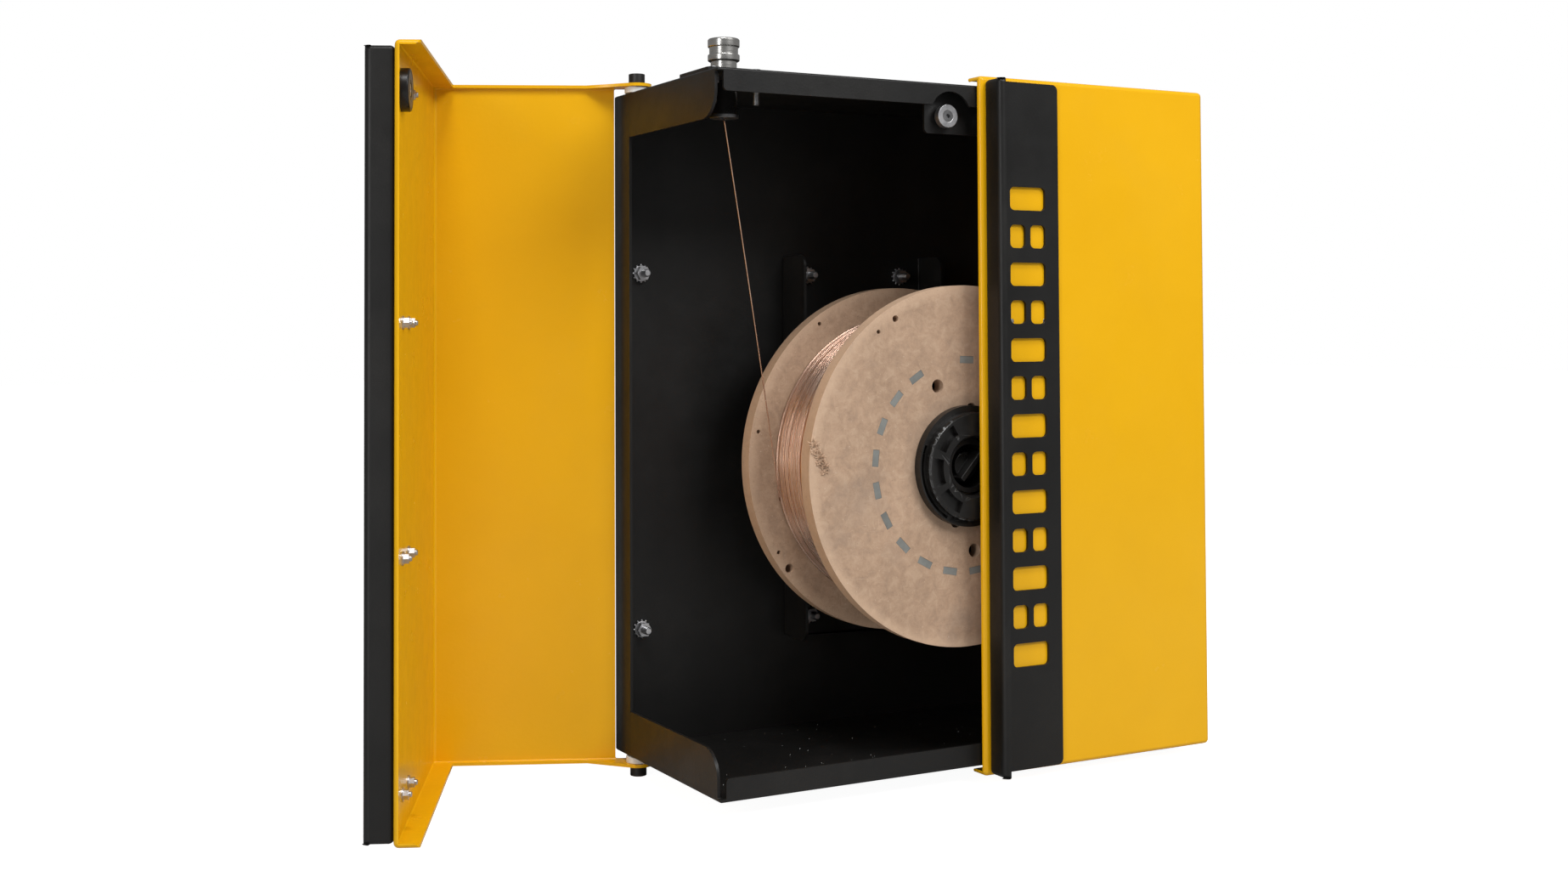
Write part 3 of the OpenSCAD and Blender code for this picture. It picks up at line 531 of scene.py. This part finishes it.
def build_crumbs(tree, given):
    """Small pointed chips thrown over a box: torn board fibres or specks of dust."""
    row = tree.node("GeometryNodeMeshLine")
    tree.feed(row, "Count", given["Count"])
    row.inputs["Offset"].default_value = (0.0, 0.0, 0.0)
    spread = given["Spread"]
    under = tree.node("ShaderNodeVectorMath", operation="SCALE")
    tree.link(spread, under.inputs[0])
    under.inputs["Scale"].default_value = -1.0
    thrown = tree.node("GeometryNodeSetPosition")
    tree.link(row.outputs["Mesh"], thrown.inputs["Geometry"])
    tree.link(random_value(tree, "FLOAT_VECTOR", under.outputs[0], spread, given["Seed"]),
              thrown.inputs["Offset"])
    chip = tree.node("GeometryNodeMeshCone")
    tree.feed(chip, "Vertices", 5)
    tree.feed(chip, "Radius Top", 0.0)
    tree.feed(chip, "Radius Bottom", given["Chip Radius"])
    tree.feed(chip, "Depth", given["Chip Length"])
    laid = tree.node("GeometryNodeInstanceOnPoints")
    tree.link(thrown.outputs["Geometry"], laid.inputs["Points"])
    tree.link(chip.outputs["Mesh"], laid.inputs["Instance"])
    tree.link(random_value(tree, "FLOAT_VECTOR", (-1.5, -1.5, -3.1), (1.5, 1.5, 3.1), given["Seed"]),
              laid.inputs["Rotation"])
    tree.link(random_value(tree, "FLOAT", 0.35, 1.0, given["Seed"]), laid.inputs["Scale"])
    return laid.outputs["Instances"]


LENGTH = "NodeSocketFloat"
WHOLE = "NodeSocketInt"
RING_STACK = grow_group("ring_stack", {
    "Ring Radius": (LENGTH, 0.004), "Bar Radius": (LENGTH, 0.0004), "Pitch": (LENGTH, 0.00125),
    "Count": (WHOLE, 8), "Slack": (LENGTH, 0.0), "Seed": (WHOLE, 1),
    "Ring Steps": (WHOLE, 24), "Bar Steps": (WHOLE, 6)}, build_ring_stack)
SPOKE_RING = grow_group("spoke_ring", {
    "Count": (WHOLE, 20), "Circle Radius": (LENGTH, 0.1),
    "Block Size": ("NodeSocketVector", (0.006, 0.015, 0.14)), "Missing": (WHOLE, -1)}, build_spoke_ring)
CRUMBS = grow_group("crumbs", {
    "Count": (WHOLE, 40), "Spread": ("NodeSocketVector", (0.01, 0.01, 0.01)),
    "Chip Radius": (LENGTH, 0.0004), "Chip Length": (LENGTH, 0.003), "Seed": (WHOLE, 3)}, build_crumbs)


def grown(name, group, places, body, slot, replaced=(), soft=0.0, **sizes):
    """Runs a geometry tree over the places and keeps its result as a plain mesh."""
    base = bpy.data.meshes.new("places")
    base.from_pydata([tuple(place) for place in places], [], [])
    carrier = bpy.data.objects.new("carrier", base)
    bpy.context.scene.collection.objects.link(carrier)
    modifier = carrier.modifiers.new("grow", "NODES")
    modifier.node_group = group
    sockets = {item.name: item.identifier for item in group.interface.items_tree if item.in_out == "INPUT"}
    for socket, value in sizes.items():
        modifier[sockets[socket.replace("_", " ")]] = value
    modifier[sockets["Material"]] = FINISHES[slot]
    graph = bpy.context.evaluated_depsgraph_get()
    graph.update()
    mesh = bpy.data.meshes.new_from_object(carrier.evaluated_get(graph))
    carrier.modifiers.remove(modifier)
    bpy.data.objects.remove(carrier)
    if soft:
        shape = bmesh.new()
        shape.from_mesh(mesh)
        mesh = soften(shape, soft * MM)
    else:
        for face in mesh.polygons:
            face.use_smooth = True
    return new_piece(name, mesh, body, slot, replaced)


# ---------------------------------------------------------------- frame and hardware

FOLDED = {"left_door": (4.5, 1.5), "right_door": (4.5, 1.5), "back_panel": (3.0, 0.8),
          "left_handle": (4.0, 1.0), "right_handle": (4.0, 1.0),
          "top_tray": (2.0, 0.8), "bottom_tray": (2.0, 0.8), "spool_bracket": (3.0, 0.8),
          "strike_bracket": (3.0, 0.8)}
GROWN = ("copper_winding", "feed_wire", "reel_staves", "left_magnet", "right_magnet")
ROUNDER = {"hub_cap": 0.9, "brake_knob": 0.9, "reel_front_flange": 0.6, "reel_rear_flange": 0.6}

for node in frame["nodes"]:
    if node in FOLDED:
        refined(node, 0.4, 2, [size * MM for size in FOLDED[node]])
    elif node not in GROWN:
        fine = SLOT_OF[node] in ("zinc_plated", "dark_steel", "nickel")
        refined(node, ROUNDER.get(node, 0.25 if fine else 0.45))

WALL_PLACES = [(x * MM, z * MM) for x in (-249, 249) for z in (-178, 178)]
BRACKET_PLACES = [(x * MM, z * MM) for x in (-57.5, 57.5) for z in (-178, 178)]
OUTLET_SCREWS = [(x * MM, y * MM) for x in (-260, -216) for y in (-188, -144)]

grown("stud_threads", RING_STACK,
      [(x, -18.3 * MM, z) for x, z in WALL_PLACES] + [(x, -22.3 * MM, z) for x, z in BRACKET_PLACES],
      "frame", "zinc_plated", Ring_Radius=3.55 * MM, Bar_Radius=0.34 * MM, Pitch=1.25 * MM, Count=6,
      Turn=(-QUARTER, 0.0, 0.0))
grown("wall_threads", RING_STACK, [(x, 1.2 * MM, z) for x, z in WALL_PLACES], "frame", "zinc_plated",
      Ring_Radius=3.85 * MM, Bar_Radius=0.34 * MM, Pitch=1.25 * MM, Count=16, Turn=(-QUARTER, 0.0, 0.0))
grown("outlet_screw_threads", RING_STACK, [(x, y, 329.6 * MM) for x, y in OUTLET_SCREWS], "frame",
      "zinc_plated", Ring_Radius=2.88 * MM, Bar_Radius=0.28 * MM, Pitch=1.0 * MM, Count=17)
grown("lock_washer_teeth", SPOKE_RING,
      [(x, -3.6 * MM, z) for x, z in WALL_PLACES] + [(x, -6.6 * MM, z) for x, z in BRACKET_PLACES],
      "frame", "zinc_plated", Count=12, Circle_Radius=8.3 * MM, Missing=-1,
      Block_Size=(2.4 * MM, 1.5 * MM, 1.0 * MM), Turn=(QUARTER, 0.0, 0.0))
grown("reel_slats", SPOKE_RING, [(0.0, REEL_Y, REEL_Z)], "reel_set", "stave_board",
      ("reel_staves",), soft=0.3, Count=21, Circle_Radius=102 * MM, Missing=6,
      Block_Size=(7 * MM, 16 * MM, 132.6 * MM), Turn=(QUARTER, -math.radians(2.6), 0.0))
grown("torn_fibres", CRUMBS,
      [(-169 * MM, -210.2 * MM, 12 * MM), (-163 * MM, -210.3 * MM, 1 * MM),
       (-158 * MM, -210.3 * MM, -8 * MM)],
      "reel_set", "torn_board", Count=44, Spread=(4.5 * MM, 0.5 * MM, 7 * MM),
      Chip_Radius=0.8 * MM, Chip_Length=6.0 * MM)
grown("floor_specks", CRUMBS, [(0.0, -118 * MM, -291.8 * MM)], "frame", "white_nylon", Count=90,
      Spread=(262 * MM, 104 * MM, 0.1 * MM), Chip_Radius=0.42 * MM, Chip_Length=0.8 * MM, Seed=11)


def lathe(profile, steps, centre):
    """Turns a closed (radius, y) outline about an axis along Y."""
    shape = bmesh.new()
    rings = []
    for step in range(steps):
        turn = 2 * math.pi * step / steps
        rings.append([shape.verts.new((centre[0] + r * math.cos(turn), y, centre[1] + r * math.sin(turn)))
                      for r, y in profile])
    count = len(profile)
    for step in range(steps):
        here, ahead = rings[step], rings[(step + 1) % steps]
        for i in range(count):
            j = (i + 1) % count
            shape.faces.new((here[i], here[j], ahead[j], ahead[i]))
    bmesh.ops.recalc_face_normals(shape, faces=shape.faces)
    return shape


# From the closed right-hand door to the open left-hand one
LEFT_DOOR = (Matrix.Translation((-HINGE_X, HINGE_Y, 0.0)) @ Matrix.Rotation(-LEFT_OPEN, 4, "Z")
             @ Matrix.Translation((HINGE_X, -HINGE_Y, 0.0)) @ Matrix.Scale(-1.0, 4, (1.0, 0.0, 0.0)))


def catch_magnet(side):
    """Rubber-coated cup with a ground pole ring standing a hair proud of it."""
    low, high, centre = -234 * MM, -226 * MM, (27 * MM, 324.5 * MM)
    cup = [(3.1, low), (18.5, low), (18.5, high - 1 * MM), (17.6, high), (16.2, high),
           (15.8, high - 0.7 * MM), (8.4, high - 0.7 * MM), (8.0, high), (6.4, high),
           (5.6, high - 0.8 * MM), (5.6, high - 3.5 * MM), (3.1, high - 3.5 * MM)]
    pole = [(8.6, high - 0.6 * MM), (15.6, high - 0.6 * MM), (15.6, high - 0.1 * MM), (8.6, high - 0.1 * MM)]
    for name, outline, slot, replaced in (
            ("cup", cup, "black_plastic", (side + "_magnet",)), ("pole", pole, "magnet_face", ())):
        shape = lathe([(r * MM, y) for r, y in outline], 72, centre)
        if side == "left":
            bmesh.ops.transform(shape, matrix=LEFT_DOOR, verts=shape.verts)
            bmesh.ops.recalc_face_normals(shape, faces=shape.faces)
        new_piece(f"{side}_magnet_{name}", soften(shape, 0.2 * MM), side + "_door_set", slot, replaced)


for side in ("left", "right"):
    catch_magnet(side)


# ---------------------------------------------------------------- winding and wire

HUB_LOW, HUB_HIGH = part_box("copper_winding")
HUB_AXIS = Vector(((HUB_LOW.x + HUB_HIGH.x) / 2, 0.0, (HUB_LOW.z + HUB_HIGH.z) / 2))
WINDING_R = (HUB_HIGH.x - HUB_LOW.x) / 2
WIRE_R = 0.6 * MM
CORE_SHARE = 0.735          # the winding's inner radius as a share of its outer one


def tube(points, radius, sides):
    """A closed tube along a list of points."""
    shape = bmesh.new()
    rings = []
    side = None
    for i, point in enumerate(points):
        ahead = (points[min(i + 1, len(points) - 1)] - points[max(i - 1, 0)]).normalized()
        if side is None:
            side = ahead.cross(Vector((0.0, 1.0, 0.0))).normalized()
        side = (side - ahead * side.dot(ahead)).normalized()
        up = side.cross(ahead)
        rings.append([shape.verts.new(point + radius * (math.cos(a) * side + math.sin(a) * up))
                      for a in (2 * math.pi * k / sides for k in range(sides))])
    for here, ahead in zip(rings, rings[1:]):
        for k in range(sides):
            shape.faces.new((here[k], here[(k + 1) % sides], ahead[(k + 1) % sides], ahead[k]))
    shape.faces.new(list(reversed(rings[0])))
    shape.faces.new(rings[-1])
    bmesh.ops.recalc_face_normals(shape, faces=shape.faces)
    return shape


def smooth_mesh(shape, name):
    """The finished shape as a smoothly shaded mesh."""
    mesh = bpy.data.meshes.new(name)
    shape.to_mesh(mesh)
    shape.free()
    for face in mesh.polygons:
        face.use_smooth = True
    return mesh


def winding():
    """The wound wire: a solid core below, and one ring for each turn of the top layer."""
    low, high = HUB_LOW.y + 0.3 * MM, HUB_HIGH.y - 0.3 * MM
    under = WINDING_R - 1.7 * WIRE_R
    inner = WINDING_R * CORE_SHARE
    outline = [(inner, low), (under, low), (under, high), (inner, high)]
    mesh = smooth_mesh(lathe(outline, 180, (HUB_AXIS.x, HUB_AXIS.z)), "core")
    new_piece("winding_core", mesh, "reel_set", "copper_wire", ("copper_winding",))
    turns = int((high - low) / (2.04 * WIRE_R))
    pitch = (high - low) / turns
    grown("wound_turns", RING_STACK, [(HUB_AXIS.x, low + pitch / 2, HUB_AXIS.z)], "reel_set", "copper_wire",
          Ring_Radius=WINDING_R - WIRE_R, Bar_Radius=WIRE_R, Pitch=pitch, Count=turns, Slack=0.006,
          Seed=7, Ring_Steps=150, Bar_Steps=6, Turn=(-QUARTER, 0.0, 0.0))


def loose_turns():
    """Top wraps that wander across the layer below."""
    chance = random.Random(21)
    low, high = HUB_LOW.y + 3 * MM, HUB_HIGH.y - 3 * MM
    span = high - low
    steps = 120
    for wrap in range(9):
        start = low + span * chance.random()
        drift = span * chance.uniform(-0.16, 0.16)
        end = min(max(start + drift, low), high)
        turn0 = chance.uniform(0.0, 2.0 * math.pi)
        points = []
        for step in range(steps + 1):
            share = step / steps
            turn = turn0 + share * 2.0 * math.pi * 0.97
            y = start + (end - start) * (3 * share ** 2 - 2 * share ** 3)
            r = WINDING_R - 0.95 * WIRE_R - 1.2 * WIRE_R * abs(2 * share - 1) ** 6
            points.append(Vector((HUB_AXIS.x + r * math.cos(turn), y, HUB_AXIS.z + r * math.sin(turn))))
        mesh = smooth_mesh(tube(points, WIRE_R, 8), "wrap")
        new_piece(f"loose_turn_{wrap + 1}", mesh, "reel_set", "copper_wire")


def feed_wire():
    """The wire from the eyelet to the winding, with a faint cast left by the reel."""
    low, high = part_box("feed_wire")
    start = Vector((low.x + WIRE_R, low.y + WIRE_R, high.z - 0.2 * MM))
    end = Vector((high.x - WIRE_R, high.y - WIRE_R, low.z + 0.2 * MM))
    points = []
    steps = 60
    for step in range(steps + 1):
        share = step / steps
        bow = 0.5 * MM * math.sin(math.pi * share)
        points.append(start.lerp(end, share) + Vector((bow, -bow, 0.0)))
    mesh = smooth_mesh(tube(points, WIRE_R, 14), "feed")
    new_piece("feed_wire_drawn", mesh, BODY_OF["feed_wire"], "copper_wire", ("feed_wire",))


winding()
loose_turns()
feed_wire()


# ---------------------------------------------------------------- stage, light and camera

def stage():
    """A floor that glows towards the camera only, so it looks white and lights the object little."""
    floor_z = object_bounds()[0].z
    material, tree, shader, where = start_material("pale_floor", Roughness=0.6)
    colour = tree.mix(tree.noise(where, 3.0), rgb(0.50, 0.50, 0.50), rgb(0.53, 0.53, 0.52))
    tree.feed(shader, "Base Color", colour)
    shader.inputs["Emission Color"].default_value = rgb(1.0, 1.0, 1.0)
    seen = tree.node("ShaderNodeLightPath").outputs["Is Camera Ray"]
    tree.feed(shader, "Emission Strength", tree.math("MULTIPLY", seen, 0.95))
    mesh = bpy.data.meshes.new("floor")
    half = 14.0
    mesh.from_pydata([(-half, -half, floor_z), (half, -half, floor_z), (half, half, floor_z),
                      (-half, half, floor_z)], [], [(0, 1, 2, 3)])
    mesh.materials.append(material)
    floor = bpy.data.objects.new("floor", mesh)
    bpy.context.scene.collection.objects.link(floor)
    floor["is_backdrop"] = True


def soft_box(name, place, target, size, power):
    """A rectangular lamp at place, facing target."""
    lamp = bpy.data.lights.new(name, "AREA")
    lamp.shape = "RECTANGLE"
    lamp.size, lamp.size_y = size
    lamp.energy = power
    holder = bpy.data.objects.new(name, lamp)
    holder.location = place
    holder.rotation_mode = "QUATERNION"
    holder.rotation_quaternion = (Vector(target) - Vector(place)).to_track_quat("-Z", "Y")
    bpy.context.scene.collection.objects.link(holder)


def world():
    """A white backdrop that lights the object more softly than it looks."""
    made = bpy.data.worlds.new("studio")
    made.use_nodes = True
    tree = Tree(made.node_tree)
    back = made.node_tree.nodes["Background"]
    back.inputs["Color"].default_value = rgb(1.0, 1.0, 1.0)
    seen = tree.node("ShaderNodeLightPath").outputs["Is Camera Ray"]
    tree.link(tree.ramp(seen, 0.0, 1.0, 0.25, 1.0), back.inputs["Strength"])
    bpy.context.scene.world = made


def camera():
    """Camera at the viewing angle: left of the box, a little above its middle."""
    azimuth, pitch, roll = math.radians(27.908), math.radians(1.640), math.radians(-0.242)
    ahead = Vector((math.sin(azimuth) * math.cos(pitch), math.cos(azimuth) * math.cos(pitch),
                    math.sin(pitch)))
    level = Vector((math.cos(azimuth), -math.sin(azimuth), 0.0))
    upright = level.cross(ahead)
    right = math.cos(roll) * level + math.sin(roll) * upright
    up = right.cross(ahead)
    data = bpy.data.cameras.new("camera")
    data.sensor_width = 36.0
    data.lens = 40.21
    data.shift_x, data.shift_y = 0.0245, -0.1025
    data.clip_end = 60.0
    made = bpy.data.objects.new("camera", data)
    turn = Matrix((right, up, -ahead)).transposed()
    made.matrix_world = Matrix.Translation((-0.9812, -1.6109, 0.1203)) @ turn.to_4x4()
    bpy.context.scene.collection.objects.link(made)
    bpy.context.scene.camera = made


stage()
soft_box("overhead", (-0.9, -1.5, 2.9), (0.0, -0.1, 0.0), (1.0, 0.8), 50.0)
soft_box("front", (0.8, -2.8, 2.2), (0.0, -0.1, 0.0), (2.0, 1.2), 74.0)
soft_box("left strip", (-3.2, -1.9, 0.6), (-0.1, -0.1, 0.0), (0.6, 1.8), 28.0)
world()
camera()
bpy.context.scene.view_settings.view_transform = "Standard"
